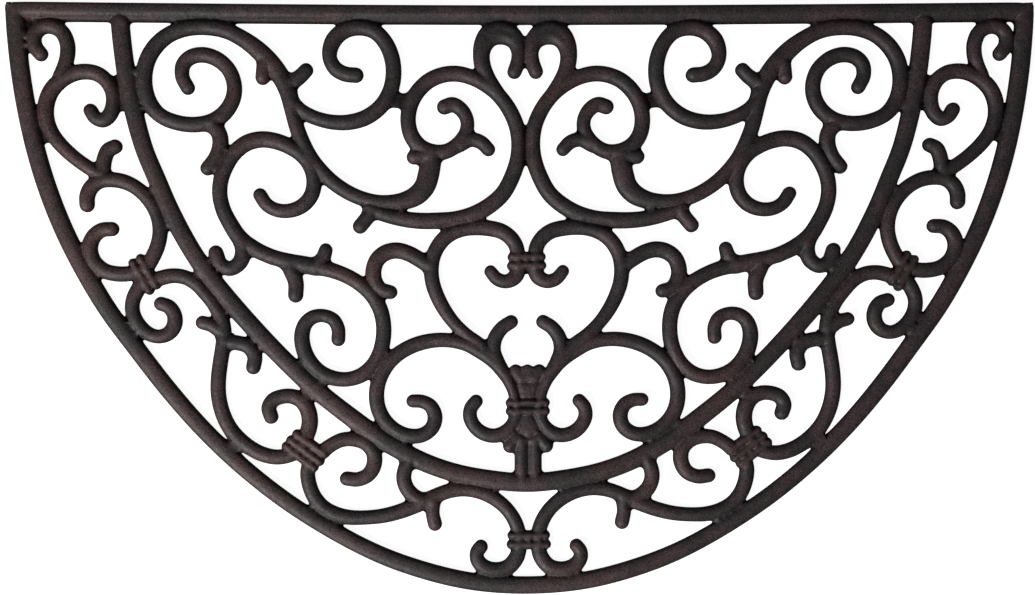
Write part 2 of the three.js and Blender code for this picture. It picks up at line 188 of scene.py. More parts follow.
# Scrolls and leaves that start at a round tip and end inside another bar
TIPPED_BARS = {
    # Around the middle of the straight edge
    "crownHook": [
        [7.3, 46.8, 8.6], [4.8, 40, 9], [4.2, 33, 9.2], [6.3, 25.8, 11.4], [11, 21.4, 13.8],
        [17, 19.8, 15.2], [23.5, 21.6, 14.4], [28.2, 27.6, 12], [29.8, 35.5, 10.4], [28.6, 44, 10],
        [24.8, 52.4, 9.2], [17.4, 64, 8.8],
    ],
    "innerSpiral": [
        [55.2, 71, 9], [49.5, 69.4, 9], [43.5, 73, 8.6], [39.8, 80, 8.2], [40.4, 88, 8.4],
        [46, 96.2, 8.6], [54, 101.3, 9], [63, 101.9, 9.8], [71.5, 98.3, 9.8], [77.4, 91, 9.6],
        [79.8, 81.5, 9.4], [78.7, 71, 9.4], [74, 61.3, 9.4], [66, 53.3, 9.4], [56.5, 49.1, 9.4],
        [47, 48.2, 9.4], [37, 50.5, 9.2], [27, 55.6, 9.2], [18.2, 63, 9], [11.2, 72.5, 9.2],
        [6.3, 83.7, 9.4], [4.5, 95, 9.6], [5.4, 106.5, 9.8], [9.5, 118.8, 9.8], [15.8, 130.2, 9.8],
        [24.8, 138.3, 10], [36, 144.4, 10], [48, 147.7, 10], [60, 148.6, 10], [72, 148.6, 9.8],
        [84, 147.2, 9.4], [95, 144.5, 9], [106, 140.5, 9],
    ],
    "innerLeaf": [[25.4, 100.1, 8], [30.5, 95.1, 8.4], [37.5, 93.4, 8.6], [45, 97, 8.8]],
    "stemStub": [[76, 105.2, 8.8], [66, 104.5, 10]],
    "lowerTwig": [[112.6, 152.2, 8.8], [108.3, 147, 8.8], [103.5, 141, 9]],

    # Between the middle and the upper large scroll
    "upperHook": [
        [115, 49.2, 9], [122.5, 48.3, 9], [129.3, 44.3, 9], [133, 36, 8.8], [130.4, 25.5, 10],
        [122.8, 18.6, 9.8], [113, 16.5, 9.4], [103, 18.8, 9.4], [95.6, 26, 9.4], [90.9, 36.5, 9.6],
        [89.6, 48, 9.6], [91.9, 60, 9.6], [98.5, 70.7, 9.4], [108.5, 78.1, 9.4], [120, 81.3, 9.2],
        [131, 81.2, 8.8], [142, 78.5, 8.4], [152, 73.5, 8.6], [158, 68, 9],
    ],
    "stemTwig": [[148.8, 45.8, 8.4], [152.8, 50, 8.8], [159.5, 54.5, 10]],
    "stemLobe": [[178.2, 50.8, 8.6], [176.8, 42, 10]],

    # The upper large scroll, which runs on into the long stem and ends under the inner spiral
    "upperSpiral": [
        [228.7, 57.6, 8.4], [232.4, 50, 8.4], [231.8, 42, 8.6], [226.5, 36.7, 8.8], [218, 35.2, 9.2],
        [208.8, 38.2, 9.2], [201, 45.5, 9], [197.4, 55.5, 9], [198.2, 65, 9.2], [203.2, 74, 9.4],
        [211.5, 80.2, 9.4], [223, 82.7, 9.2], [236, 81.3, 9.2], [247.6, 76.1, 9.2], [255.1, 66.5, 9.8],
        [258.1, 54, 9.8], [256.5, 40.5, 9.8], [250.6, 29.6, 9.8], [241, 21.3, 9.4], [229, 17, 9.4],
        [216, 16.2, 9.6], [203, 18.6, 9.6], [191.5, 24.3, 10], [181.5, 31.8, 11.2], [173, 40.5, 11.8],
        [166, 50, 11.4], [161, 60.5, 11], [158.3, 72, 9.8], [155.7, 83, 9.2], [152.1, 93, 9.2],
        [145.9, 105.3, 9.2], [138.6, 114.8, 9.2], [130.1, 122.8, 9], [120.5, 129.2, 8.8],
        [111, 133.4, 8.8], [101.5, 135.8, 9], [91.5, 136.1, 9.4], [82, 134.7, 10.8], [74, 131, 12.4],
        [68.7, 125, 13], [66.3, 117.5, 13.4], [64.8, 110, 13], [63, 103, 11],
    ],
    "birdNeck": [
        [215.3, 112.5, 8.4], [209.6, 105.2, 9], [206.7, 96.5, 9.6], [207.6, 89, 9.6],
        [212.5, 82.5, 10],
    ],

    # The hook in the middle of the right side, which runs down into the long branch
    "middleHook": [
        [179.9, 130.8, 8.2], [175.4, 137.3, 8.2], [168.5, 141, 8.2], [160, 141.4, 8.4],
        [151.4, 138, 8.8], [145.4, 130.8, 9], [143.6, 121, 9.2], [146, 111.5, 9.2], [152, 103.3, 9.4],
        [160.5, 97.6, 9.6], [169.5, 94.1, 9.8], [179, 92.9, 9.8], [189, 95.4, 9.8],
        [197.4, 102.2, 9.4], [203.1, 111.3, 9.2], [206.5, 121, 9], [207, 131, 9], [204.6, 141, 9.2],
        [199.8, 150.5, 9.6], [193.4, 160, 10], [184, 167, 9.8], [172, 173, 9],
    ],
    "returnHook": [
        [209.6, 169.6, 8.6], [206.6, 177.2, 8.8], [200, 180.4, 8.8], [193.5, 176.2, 9.2],
        [191.3, 168, 9.8], [193.4, 160, 10],
    ],
    "branch": [
        [127.5, 228.6, 8.2], [127.5, 221.5, 8], [130.7, 215.4, 8], [137, 212.6, 7.8],
        [144, 213.3, 8.2], [149.4, 217.6, 8.6], [151.9, 225.1, 9.2], [150.9, 234.4, 9.4],
        [147, 243, 9.4], [140.3, 250.2, 9.2], [131, 254.6, 9], [121, 255.5, 8.8], [111.8, 252.7, 9],
        [104, 246, 9.2], [99.3, 237, 9.2], [97.1, 227, 9.2], [97.2, 217, 9.2], [99.6, 207.5, 9.4],
        [104.8, 198.7, 9.4], [112.3, 191.6, 9.2], [121, 186.2, 9], [130, 182.5, 9.2], [140, 179.8, 10],
        [150, 178.2, 10.8], [161, 176, 10.2], [171, 172.8, 9], [181, 168.5, 9.2], [191, 163, 9.6],
    ],
    "branchTwig": [[135.8, 168.2, 8], [137.6, 173.5, 8.8], [143, 180, 10]],
    "branchLeaf": [[156.1, 198.6, 9], [156, 190, 9.4], [159.5, 180, 10.4]],

    # The lower heart and the loop beside it
    "heartHook": [[24.5, 183.3, 7.4], [20, 188.4, 8], [13.8, 190, 8.4], [7.8, 187, 9.2], [5, 180, 9.4]],
    "heartLeaf": [
        [10.8, 217.5, 8.2], [16.8, 221.4, 8.4], [21.7, 228.4, 8.8], [22.8, 237, 8.8], [19.5, 246, 8.6],
    ],
    "loop": [
        [92.2, 196.9, 8.2], [99, 195, 9.2], [102.8, 189.6, 9.6], [103.7, 182.3, 9.6],
        [101.1, 174.8, 9.6], [95.4, 170.2, 9.8], [88, 168.7, 9.8], [80.3, 170.6, 9.6],
        [73, 174.6, 9.6], [65, 180, 9.4],
    ],
    "lowerSpiral": [
        [77.4, 270.5, 7.8], [71.5, 270.8, 8], [65.6, 273.9, 8.4], [62.6, 280.8, 9], [64.5, 288.4, 8.8],
        [71, 293.3, 8.8], [79.5, 293.9, 8.8], [88.3, 290.8, 9], [95.9, 284.3, 9.2],
        [100.7, 275.3, 9.2], [101.9, 265, 9.2], [99.6, 254.5, 9.2], [93.7, 244.6, 9.2], [85, 237.2, 9],
        [74, 232, 9], [62, 229.6, 8.8], [50.5, 230, 8.6], [40.5, 232.8, 8.4], [33.4, 237, 8],
        [27, 241.4, 7.6], [21.4, 246.2, 7.4], [16.2, 252.6, 7],
    ],
    "anchorHook": [
        [34.9, 271, 8], [38.3, 275.3, 8.2], [39, 281.5, 8.4], [36, 287.9, 8.4], [30.5, 292.4, 8.6],
        [23, 294.3, 8.6], [15.2, 292, 9], [9.6, 286.5, 9], [7.4, 279, 9],
    ],
    "anchorLeaf": [[12.2, 301.2, 8.4], [6.6, 294, 9]],

    # The lowest scrolls, under the inner arc
    "footHook": [
        [32.2, 368.6, 8.2], [34.7, 372, 8.4], [34.7, 377, 8.6], [30.2, 382.2, 9.2], [22.5, 384.4, 9.4],
        [14.1, 382.5, 9.4], [8.4, 376.2, 9.4], [6.4, 368, 9], [6.7, 360, 8.8], [9.2, 351.8, 8.6],
        [14.4, 343.8, 8.4], [22, 337.1, 8.6], [31.5, 332.3, 8.6], [42, 330.1, 8.6], [52, 330.8, 8.8],
        [60.5, 333.5, 8.8], [68.5, 337.3, 9.4], [77, 341, 9.4], [87, 344.7, 9], [98.5, 347.4, 8.6],
        [111, 348.4, 8.4], [121, 348, 8.8], [130, 345.7, 9], [138.2, 341, 9], [144, 333.8, 8.8],
        [147.4, 325, 8.8], [148.1, 316.5, 8.8], [145, 308, 9],
    ],
    "footTwig": [[63, 353, 8.4], [64.5, 346, 8.2], [64, 337, 9]],

    # Scrolls of the border's middle panel, bound by three ribs
    "leftBandHook": [
        [122, 322.2, 8.4], [114.5, 322.8, 8.6], [107.3, 319.5, 8.8], [103.6, 312.5, 9.2],
        [104.2, 304.4, 9.2], [109.2, 298.6, 9], [117, 295.9, 8.8], [125, 296.2, 8.6],
        [132, 299.4, 8.4], [139, 304.5, 9],
    ],
    "rightBandHook": [
        [172.6, 280.3, 8.6], [174.2, 274.6, 8.8], [171.5, 269.4, 8.8], [165.5, 266.9, 8.8],
        [158.4, 266.8, 9], [152, 269.9, 9.6], [148, 276, 9.8], [146.7, 283.5, 9.8], [148.1, 291, 9.6],
        [151.5, 298.5, 9],
    ],
    "borderNeck": [[218.4, 216.8, 8.2], [211.8, 218.8, 8.6], [205, 223.7, 9.2]],
    "borderLeaf": [
        [184.5, 247, 8.6], [183.6, 239.8, 8.8], [187.6, 233.2, 9], [195, 230.6, 9], [203.5, 230, 9.6],
    ],

    # Scrolls of the border's upper panel, bound by two ribs
    "upperBandSpiral": [
        [246.2, 204, 8.4], [241, 206, 8.6], [237.4, 211.5, 8.8], [237.3, 218.2, 9], [241, 223.8, 8.6],
        [248, 226, 8.2], [255.4, 223.5, 8.4], [261.5, 217.5, 8.6], [265, 210, 8.4],
        [265.2, 202.3, 8.4], [262.2, 195, 8.8], [256.5, 187, 9],
    ],
    "upperBandHook": [
        [279.2, 153.4, 8.4], [285.8, 154, 8.6], [291.5, 158.5, 9], [294, 166.5, 9.4],
        [291.4, 175.2, 9.4], [284.5, 181.3, 9.2], [276, 183.6, 9.2], [267, 183.4, 9], [259, 180.7, 9],
    ],
    "neckHook": [
        [295.9, 137, 8.8], [295.8, 130.8, 9], [292.9, 124.8, 9], [287.3, 120.8, 9], [279.5, 120, 9],
        [271, 121.5, 9], [263.3, 125.4, 8.8], [256.6, 131.3, 8.8], [251.1, 139, 8.8],
        [247.9, 147.5, 8.8], [247.1, 156.5, 8.8], [249.1, 166, 8.8], [253.2, 174.8, 8.8],
        [258, 182, 9],
    ],
    "neckLeaf": [[277.2, 97.6, 8.4], [282, 100.3, 8.8], [284.6, 107, 8.8], [285.5, 116, 9]],
    "borderSpiral": [
        [293.7, 73.3, 8.4], [290.6, 77.9, 8.4], [285.5, 79.6, 8.6], [280.9, 76, 8.8], [278.6, 69, 8.8],
        [279.2, 60.5, 8.8], [283.5, 52.6, 9], [290, 47.9, 9.2], [297.6, 46.6, 9.2], [306.1, 48.1, 9.4],
        [314.1, 52.7, 9.6], [320.5, 60, 9.6], [323.6, 69, 9.6], [323.4, 78.5, 9.2], [320.1, 87.6, 8.8],
        [313.9, 96.1, 8.6], [306, 103.7, 8.4], [297.6, 110.1, 8.4], [287.2, 116.5, 8.8],
    ],
    "cornerHook": [
        [327.4, 34.6, 8.6], [331.4, 29, 8.8], [331.8, 22.2, 8.8], [327.6, 16.9, 8.8], [320.5, 15.6, 9],
        [313.4, 19.5, 9], [309.7, 27.5, 8.8], [309.6, 36, 8.6], [311.5, 43, 8.2], [314.5, 49.5, 7.6],
    ],
}

# Bars with both ends inside other bars
JOINING_BARS = {
    "heart": [
        [6, 182, 9], [6, 172, 9], [7.3, 165.5, 9], [11.1, 160, 9.2], [17, 155.9, 9.4],
        [25, 153.9, 9.6], [33, 153.2, 9.6], [42, 153.8, 9.6], [51.1, 157.2, 9.4], [58.3, 163.4, 9.2],
        [63, 172, 9], [64.6, 181, 9], [63.8, 190.5, 9], [60.5, 200.2, 8.8], [55.4, 209.8, 8.4],
        [48.9, 218.5, 7.8], [41, 226, 7.6], [32.6, 232.4, 8.2], [25.2, 239.2, 8.2], [18.7, 247.2, 8],
        [13.4, 256, 7.4], [9.4, 264.5, 7.2], [7.4, 274, 8],
    ],
    "borderScroll": [
        [254, 189.5, 9], [247, 186.8, 9], [239, 185.1, 8.8], [231, 186, 8.8], [223.6, 190, 8.6],
        [216.7, 197, 8.6], [210.5, 205, 8.6], [206, 214, 8.8], [204.2, 223, 9], [204.8, 232, 9],
        [206.5, 243, 9], [207.8, 253.5, 9], [208, 263, 9], [206.7, 272, 9], [203.9, 280.6, 9],
        [199.7, 288.4, 9], [193.8, 295.2, 9], [186.8, 300.9, 9], [178.5, 305.3, 9], [168.5, 307.4, 9],
        [158.5, 305.4, 9], [150.5, 300, 9],
    ],
    "dropHook": [
        [79, 309, 9], [82.8, 316, 9], [83.8, 322.5, 9], [81.5, 329.5, 9], [75.3, 335.5, 9.2],
        [67, 338, 9],
    ],
    "stem": [[4.3, 297, 8.4], [4.4, 309, 8.4], [4.3, 324, 8.4]],
}

# Short wide bars on the middle line: the shield under the vase and its middle petal
MIDDLE_BARS = {
    "shield": [[0, 279, 9], [0, 285, 13], [0, 291.5, 15], [0, 295.5, 7]],
    "middlePetal": [[0, 250.6, 7.4], [0, 253.8, 7.2]],
}
SIDE_PETALS = {
    "petal": [[8, 250.8, 8], [7.6, 254, 7.6]],
}

# The vase's face, a little lower than the bars
PANELS = {
    "vase": [[0, 258.6, 13], [0, 264, 12], [0, 270, 10], [0, 276, 9]],
    "vaseSide": [[7.5, 255.6, 7], [6, 260, 7], [4, 266, 7]],
    "vaseTop": [[4, 251.9, 7], [4, 255, 7]],
}

# Low webs that fill the narrow gaps between two bars
WEBS = {
    "bridge": [[80, 67, 9], [92, 66, 9]],
    "spiralWeb": [[277, 53, 5], [275.4, 62, 5], [274, 70.5, 4]],
    "outerWeb": [[329.4, 73, 4], [328.4, 82, 5], [324.5, 92, 4]],
}

# The web that closes the corner's pocket, on the left alone
LEFT_WEBS = {
    "cornerPocket": [[-337, 14, 7], [-334.4, 17, 7]],
}

# Ribs of the bands that bind the scrolls: [across, down] of both ends
RIBS = [
    [[-12.4, 173.5], [12.4, 173.5]],
    [[-12.8, 179.4], [12.8, 179.4]],
    [[-14.4, 272.2], [14.4, 272.2]],
    [[-14.4, 277.8], [14.4, 277.8]],
    [[-13.8, 361.2], [13.8, 361.2]],
    [[-14.4, 367.3], [14.4, 367.3]],
]
SIDE_RIBS = [
    [[261, 171.2], [248.2, 193.4]],
    [[266, 174.2], [252.7, 197]],
    [[157.4, 290.5], [134.6, 307]],
    [[161.4, 294.5], [138, 312]],
    [[164.4, 298.5], [142, 316]],
]

# Grooves (below zero) and swellings of the top: the rise, then the route as [across, down, width]
RELIEF = [
    # the vase: a panel between two grooves, and small bumps under its petals
    (-1.8, [[9.4, 254.5, 1.6], [7.8, 259, 2.6], [6.2, 265, 2.8], [5.2, 270, 2.4]]),
    (0.7, [[3.6, 255.4, 5.4], [4, 255.6, 5.4]]),
    (-0.8, [[0, 258.8, 2.4], [7.4, 258.6, 2.4]]),
    # the shield's rim
    (-1.5, [[3.4, 280.6, 2.2], [6, 285.5, 2.6], [8.3, 290.6, 3], [5.6, 293, 2.8], [1, 295.6, 2.4]]),
    # between the inner spiral and the heart's top
    (-1.4, [[40, 150.3, 4], [48, 151.6, 4.6], [57, 152.8, 4]]),
    # a shallow channel between two ridges of the crown hook
    (-0.7, [[9.5, 21.6, 3], [15, 19.4, 3.4], [21.5, 20.4, 3.6], [26, 25.2, 3]]),
    # where the two inner spirals touch on the middle line
    (-0.8, [[0, 86, 3.4], [0, 100, 3.8], [0, 112, 3.8]]),
]


def catmull_rom(nodes):
    """A centripetal curve through the nodes, in points about ROUTE_STEP apart."""
    nodes = np.asarray(nodes, float)
    padded = np.vstack([2 * nodes[0] - nodes[1], nodes, 2 * nodes[-1] - nodes[-2]])
    out = [nodes[:1]]
    for p0, p1, p2, p3 in zip(padded, padded[1:], padded[2:], padded[3:]):
        d0, d1, d2 = (math.sqrt(math.dist(a, b)) for a, b in ((p0, p1), (p1, p2), (p2, p3)))
        leave = ((p1 - p0) / d0 - (p2 - p0) / (d0 + d1) + (p2 - p1) / d1) * d1
        arrive = ((p2 - p1) / d1 - (p3 - p1) / (d1 + d2) + (p3 - p2) / d2) * d1
        steps = max(2, math.ceil(math.dist(p1, p2) / ROUTE_STEP))
        t = np.linspace(0, 1, steps + 1)[1:, None]
        out.append(
            (2 * t**3 - 3 * t**2 + 1) * p1 + (t**3 - 2 * t**2 + t) * leave
            + (3 * t**2 - 2 * t**3) * p2 + (t**3 - t**2) * arrive
        )
    return np.vstack(out)


class Bar:
    """One bar: a smooth route with a half width, a height and the roundness of its crown.

    A one-sided bar isn't mirrored with the right half. Softness scales how far it blends into its
    neighbours, and crease is the depth of the groove where it meets them.
    """

    # how many steps of a route are tried together
    GROUP = 10

    def __init__(
        self, rows, height=BAR_HEIGHT, roundness=SCROLL_ROUNDNESS, mirror=False, one_sided=False,
        softness=1, crease=CREASE,
    ):
        route = catmull_rom([
            (across, MAT_DEPTH / 2 - down, width / 2 + FOOT_SPREAD) for across, down, width in rows
        ])
        if mirror:
            route[:, 0] *= -1
        self.points, self.half = route[:, :2], route[:, 2]
        self.height, self.roundness = height, roundness
        self.one_sided, self.softness, self.crease = one_sided, softness, crease

    def reach(self, q):
        """For each point its depth inside the bar, the half width there and the way in.

        The depth is 0 on the edge and half the half width on the route.
        """
        depth = np.full(len(q), -FAR)
        half = np.full(len(q), 1.0)
        way = np.zeros((len(q), 2))
        margin = self.half.max() + CORNER_BLEND + 1
        for start in range(0, len(self.points) - 1, self.GROUP):
            run = self.points[start:start + self.GROUP + 1]
            widths = self.half[start:start + self.GROUP + 1]
            low, high = run.min(0) - margin, run.max(0) + margin
            near = np.flatnonzero(
                (q[:, 0] > low[0]) & (q[:, 0] < high[0])
                & (q[:, 1] > low[1]) & (q[:, 1] < high[1])
            )
            if not len(near):
                continue
            a, along = run[:-1], np.diff(run, axis=0)
            apart = q[near, None, :] - a[None]
            t = np.clip((apart * along).sum(2) / np.maximum((along**2).sum(1), 1e-9), 0, 1)
            away = apart - t[..., None] * along
            h = widths[:-1] + t * np.diff(widths)
            d = (h * h - (away**2).sum(2)) / (2 * h)
            best = d.argmax(1)
            rows = np.arange(len(near))
            d, h, away = d[rows, best], h[rows, best], away[rows, best]
            better = d > depth[near]
            depth[near[better]] = d[better]
            half[near[better]] = h[better]
            length = np.maximum(np.linalg.norm(away[better], axis=1), 1e-6)
            way[near[better]] = -away[better] / length[:, None]
        return depth, half, way

    def crown(self, depth, half):
        """The height of the bar's top at a depth. Outside the bar it falls away steeply."""
        u = np.sqrt(np.clip(1 - 2 * depth / half, 0, 1))
        rise = (1 - u**self.roundness) ** (1 / self.roundness)
        top = self.height * (SHOULDER + (1 - SHOULDER) * rise)
        return np.where(depth > 0, top, self.height * SHOULDER + 2 * depth)


def smooth_max(a, b, blend):
    """The larger of a and b, with a rounded change where they are nearly equal."""
    blend = np.maximum(blend, 1e-6)
    near = np.maximum(blend - np.abs(a - b), 0) / blend
    return np.maximum(a, b) + near * near * blend / 4


def reaches_middle(rows):
    return min(across for across, _, _ in rows) < MIDDLE_ZONE


def all_bars():
    """The right half's bars, what the left half reaches over the middle line, and the left webs."""
    bars = []

    def both(rows, **kind):
        bars.append(Bar(rows, **kind))
        if reaches_middle(rows):
            bars.append(Bar(rows, mirror=True, **kind))

    for name, rows in FRAME_BARS.items():
        across, down, width = rows[1]
        rows = [[-across, down, width]] + rows
        if name == "straightEdge":
            crown = [[across, down - LEDGE / 2, width - LEDGE] for across, down, width in rows]
            bars.append(Bar(crown, roundness=EDGE_ROUNDNESS))
            bars.append(Bar(rows, height=LEDGE_HEIGHT, roundness=2, softness=0.3))
        else:
            bars.append(Bar(rows, roundness=ARC_ROUNDNESS))
    for table in (TIPPED_BARS, JOINING_BARS):
        for rows in table.values():
            both(rows)
    for rows in SIDE_PETALS.values():
        both(rows, height=PETAL_HEIGHT, crease=0, softness=0.3)
    for rows in MIDDLE_BARS.values():
        bars.append(Bar(rows, height=PETAL_HEIGHT, roundness=4, crease=0, softness=0.3))
    for rows in PANELS.values():
        both(rows, height=PANEL_HEIGHT, roundness=5, crease=0, softness=0.5)
    for rows in WEBS.values():
        both(rows, height=WEB_HEIGHT, roundness=6)
    for rows in LEFT_WEBS.values():
        bars.append(Bar(rows, height=POCKET_HEIGHT, roundness=6, one_sided=True))
    for start, end in RIBS + SIDE_RIBS:
        start, end = np.array(start), np.array(end)
        inset = (end - start) / math.dist(start, end) * RIB_WIDTH / 2
        rows = [[*(start + inset), RIB_WIDTH], [*(end - inset), RIB_WIDTH]]
        bars.append(Bar(rows, height=RIB_HEIGHT, roundness=2, softness=0.35))
    return bars


def all_relief():
    """The grooves and swellings of the top, each with its rise."""
    relief = []
    for rise, rows in RELIEF:
        relief.append((rise, Bar(rows)))
        if reaches_middle(rows):
            relief.append((rise, Bar(rows, mirror=True)))
    return relief


def field(bars, q, relief=()):
    """The outline's depth and the height of the top at each point. The left half mirrors the right."""
    folded = np.column_stack([np.abs(q[:, 0]), q[:, 1]])
    depth = np.full(len(q), -FAR)
    top = np.full(len(q), -FAR)
    way = np.zeros((len(q), 2))
    for bar in bars:
        own, half, own_way = bar.reach(q if bar.one_sided else folded)
        near = np.flatnonzero(own > -CORNER_BLEND - 1)
        if not len(near):
            continue
        own, half, own_way = own[near], half[near], own_way[near]
        # bars that meet side by side are rounded between, and one that runs on isn't
        apart = np.clip(1 - (way[near] * own_way).sum(1), 0, 1)
        blend = np.sqrt(apart) * bar.softness
        way[near] = np.where((own > depth[near])[:, None], own_way, way[near])
        depth[near] = smooth_max(depth[near], own, CORNER_BLEND * blend)
        crown = bar.crown(own, half)
        meet = np.clip(1 - ((crown - top[near]) / CREASE_WIDTH) ** 2, 0, 1) ** 2 * apart
        higher = np.maximum(crown, top[near])
        fade = np.clip((BAR_HEIGHT - higher) / CREASE_FADE, 0, 1) * (higher > FILL_HEIGHT)
        top[near] = smooth_max(top[near], crown, VALLEY_BLEND * blend) - bar.crease * meet * fade
    top = smooth_max(top, np.full(len(q), FILL_HEIGHT), FILL_BLEND)
    for rise, shape in relief:
        own, half, _ = shape.reach(folded)
        top += rise * np.clip(2 * own / half, 0, 1) ** 2
    return depth, top


def inward(bars, q, step=0.05):
    """The way into the solid at each point, and how fast the depth grows that way."""
    dx, dy = np.array([step, 0]), np.array([0, step])
    slope = np.column_stack([
        field(bars, q + dx)[0] - field(bars, q - dx)[0],
        field(bars, q + dy)[0] - field(bars, q - dy)[0],
    ]) / (2 * step)
    rate = np.maximum(np.linalg.norm(slope, axis=1), 0.2)
    return slope / rate[:, None], rate


def zero_loops(values, xs, ys):
    """The closed loops where a grid of values crosses zero, each with the positive side on its left."""
    inside = values > 0
    code = (inside[:-1, :-1] * 1 + inside[1:, :-1] * 2 + inside[1:, 1:] * 4 + inside[:-1, 1:] * 8)
    # sides of a cell: 0 below, 1 right, 2 above, 3 left; each code has its (from, to) pairs of sides
    pairs = {
        1: [(0, 3)], 2: [(1, 0)], 3: [(1, 3)], 4: [(2, 1)], 6: [(2, 0)], 7: [(2, 3)], 8: [(3, 2)],
        9: [(0, 2)], 11: [(1, 2)], 12: [(3, 1)], 13: [(0, 1)], 14: [(3, 0)],
        5: [(0, 3), (2, 1)], 10: [(1, 0), (3, 2)],
    }
    side_key = {
        0: lambda i, j: (i, j, 0), 1: lambda i, j: (i + 1, j, 1), 2: lambda i, j: (i, j + 1, 0),
        3: lambda i, j: (i, j, 1),
    }
    following = {}
    for i, j in zip(*np.nonzero((code > 0) & (code < 15))):
        for start, end in pairs[int(code[i, j])]:
            following[side_key[start](i, j)] = side_key[end](i, j)

    def place(key):
        i, j, upright = key
        i2, j2 = (i, j + 1) if upright else (i + 1, j)
        a, b = values[i, j], values[i2, j2]
        t = a / (a - b)
        return xs[i] + t * (xs[i2] - xs[i]), ys[j] + t * (ys[j2] - ys[j])

    loops = []
    while following:
        first, here = following.popitem()
        loop = [place(first)]
        while here != first:
            loop.append(place(here))
            here = following.pop(here)
        loops.append(np.array(loop))
    return loops


def thinned(loop):
    """The loop with points only as close as its turns need."""
    closed = np.vstack([loop, loop[:1]])
    run = np.concatenate([[0], np.cumsum(np.linalg.norm(np.diff(closed, axis=0), axis=1))])
    even = np.linspace(0, run[-1], int(run[-1] / FINE_STEP), endpoint=False)
    fine = np.column_stack([np.interp(even, run, closed[:, k]) for k in (0, 1)])
    ahead = np.roll(fine, -2, 0) - np.roll(fine, 2, 0)
    heading = np.unwrap(np.arctan2(ahead[:, 1], ahead[:, 0]))
    kept = [0]
    gone = 0.0
    for i in range(1, len(fine)):
        gone += FINE_STEP
        turn = abs(heading[i] - heading[kept[-1]])
        if turn > EDGE_TURN or gone >= EDGE_STEP:
            kept.append(i)
            gone = 0.0
    return fine[kept]


def tree_of(points):
    """A tree that finds the nearest of the points."""
    tree = kdtree.KDTree(len(points))
    for i, (x, y) in enumerate(points):
        tree.insert((x, y, 0), i)
    tree.balance()
    return tree


def clear_of(tree, points, gap):
    """Those of the points that are further than the gap from the tree's."""
    return points[[tree.find((x, y, 0))[2] > gap for x, y in points]]


def exact_edge(bars, loops):
    """The loops' points in one list, drawn on to the exact edge, and the way into the solid at each."""
    edge = np.vstack(loops)
    for _ in range(2):
        way, rate = inward(bars, edge)
        edge = edge - way * (field(bars, edge)[0] / rate)[:, None]
    return edge, way


def valleys(depth, top):
    """Where the grid of heights bends up sharply inside the mat, and the places next to that."""
    bend = np.zeros_like(top)
    bend[1:-1, 1:-1] = (
        top[2:, 1:-1] + top[:-2, 1:-1] + top[1:-1, 2:] + top[1:-1, :-2] - 4 * top[1:-1, 1:-1]
    )
    valley = (bend > VALLEY_BEND) & (depth > VALLEY_INSET + 0.2)
    grown = valley.copy()
    grown[1:] |= valley[:-1]
    grown[:-1] |= valley[1:]
    grown[:, 1:] |= valley[:, :-1]
    grown[:, :-1] |= valley[:, 1:]
    return grown & (depth > VALLEY_INSET)


def lattice(step, low, high):
    """An even lattice of points over the whole grid."""
    rows = np.arange(low + step / 3, high, step * math.sqrt(3) / 2)
    out = []
    for k, y in enumerate(rows):
        row = np.arange(-GRID_REACH + (k % 2) * step / 2, GRID_REACH, step)
        out.append(np.column_stack([row, np.full(len(row), y)]))
    return np.vstack(out)


def mat_mesh(bars, relief):
    """Corners in millimetres and faces of the closed mesh."""
    low, high = -MAT_DEPTH / 2 - GRID_MARGIN, MAT_DEPTH / 2 + GRID_MARGIN
    xs = np.arange(-GRID_REACH, GRID_REACH + GRID_STEP / 2, GRID_STEP)
    ys = np.arange(low, high + GRID_STEP / 2, GRID_STEP)
    gx, gy = np.meshgrid(xs, ys, indexing="ij")
    depth, top = field(bars, np.column_stack([gx.ravel(), gy.ravel()]), relief)
    depth, top = depth.reshape(gx.shape), top.reshape(gx.shape)
    valley = valleys(depth, top)

    def on_grid(values, q):
        i = np.clip(np.rint((q[:, 0] - xs[0]) / GRID_STEP).astype(int), 0, len(xs) - 1)
        j = np.clip(np.rint((q[:, 1] - ys[0]) / GRID_STEP).astype(int), 0, len(ys) - 1)
        return values[i, j]

    # The outline, and rings of points that follow it inside for the rounded shoulder
    loops = [thinned(loop) for loop in zero_loops(depth, xs, ys) if len(loop) >= SMALLEST_LOOP]
    edge, way = exact_edge(bars, loops)
    tree = tree_of(edge)
    rings = [clear_of(tree, edge + way * inset, RING_CLEARANCE * inset) for inset in EDGE_RINGS]
    taken = np.vstack([edge] + rings)

    # Points inside: an even lattice, and a finer one along the valleys
    tree = tree_of(taken)
    wide = lattice(LATTICE_STEP, low, high)
    wide = wide[(on_grid(depth, wide) > LATTICE_INSET) & ~on_grid(valley, wide)]
    close = lattice(VALLEY_STEP, low, high)
    close = close[on_grid(valley, close)]
    top_spots = np.vstack([
        taken,
        clear_of(tree, wide, LATTICE_CLEARANCE * LATTICE_STEP),
        clear_of(tree, close, LATTICE_CLEARANCE * VALLEY_STEP),
    ])

    borders = []
    start = 0
    for loop in loops:
        borders += [(start + i, start + (i + 1) % len(loop)) for i in range(len(loop))]
        start += len(loop)
    borders = np.array(borders)
    top_faces = inside_faces(top_spots, borders)
    floor_faces = inside_faces(edge, borders)
    heights = evened(top_spots, field(bars, top_spots, relief)[1], top_faces, len(taken))
    corners = np.vstack([
        np.column_stack([top_spots, heights]),
        np.column_stack([edge, np.zeros(len(edge))]),
    ])
    a, b = borders.T
    n_top = len(top_spots)
    walls = np.vstack([
        np.column_stack([a + n_top, b + n_top, b]),
        np.column_stack([a + n_top, b, a]),
    ])
    return corners, np.vstack([top_faces, walls, floor_faces[:, ::-1] + n_top])


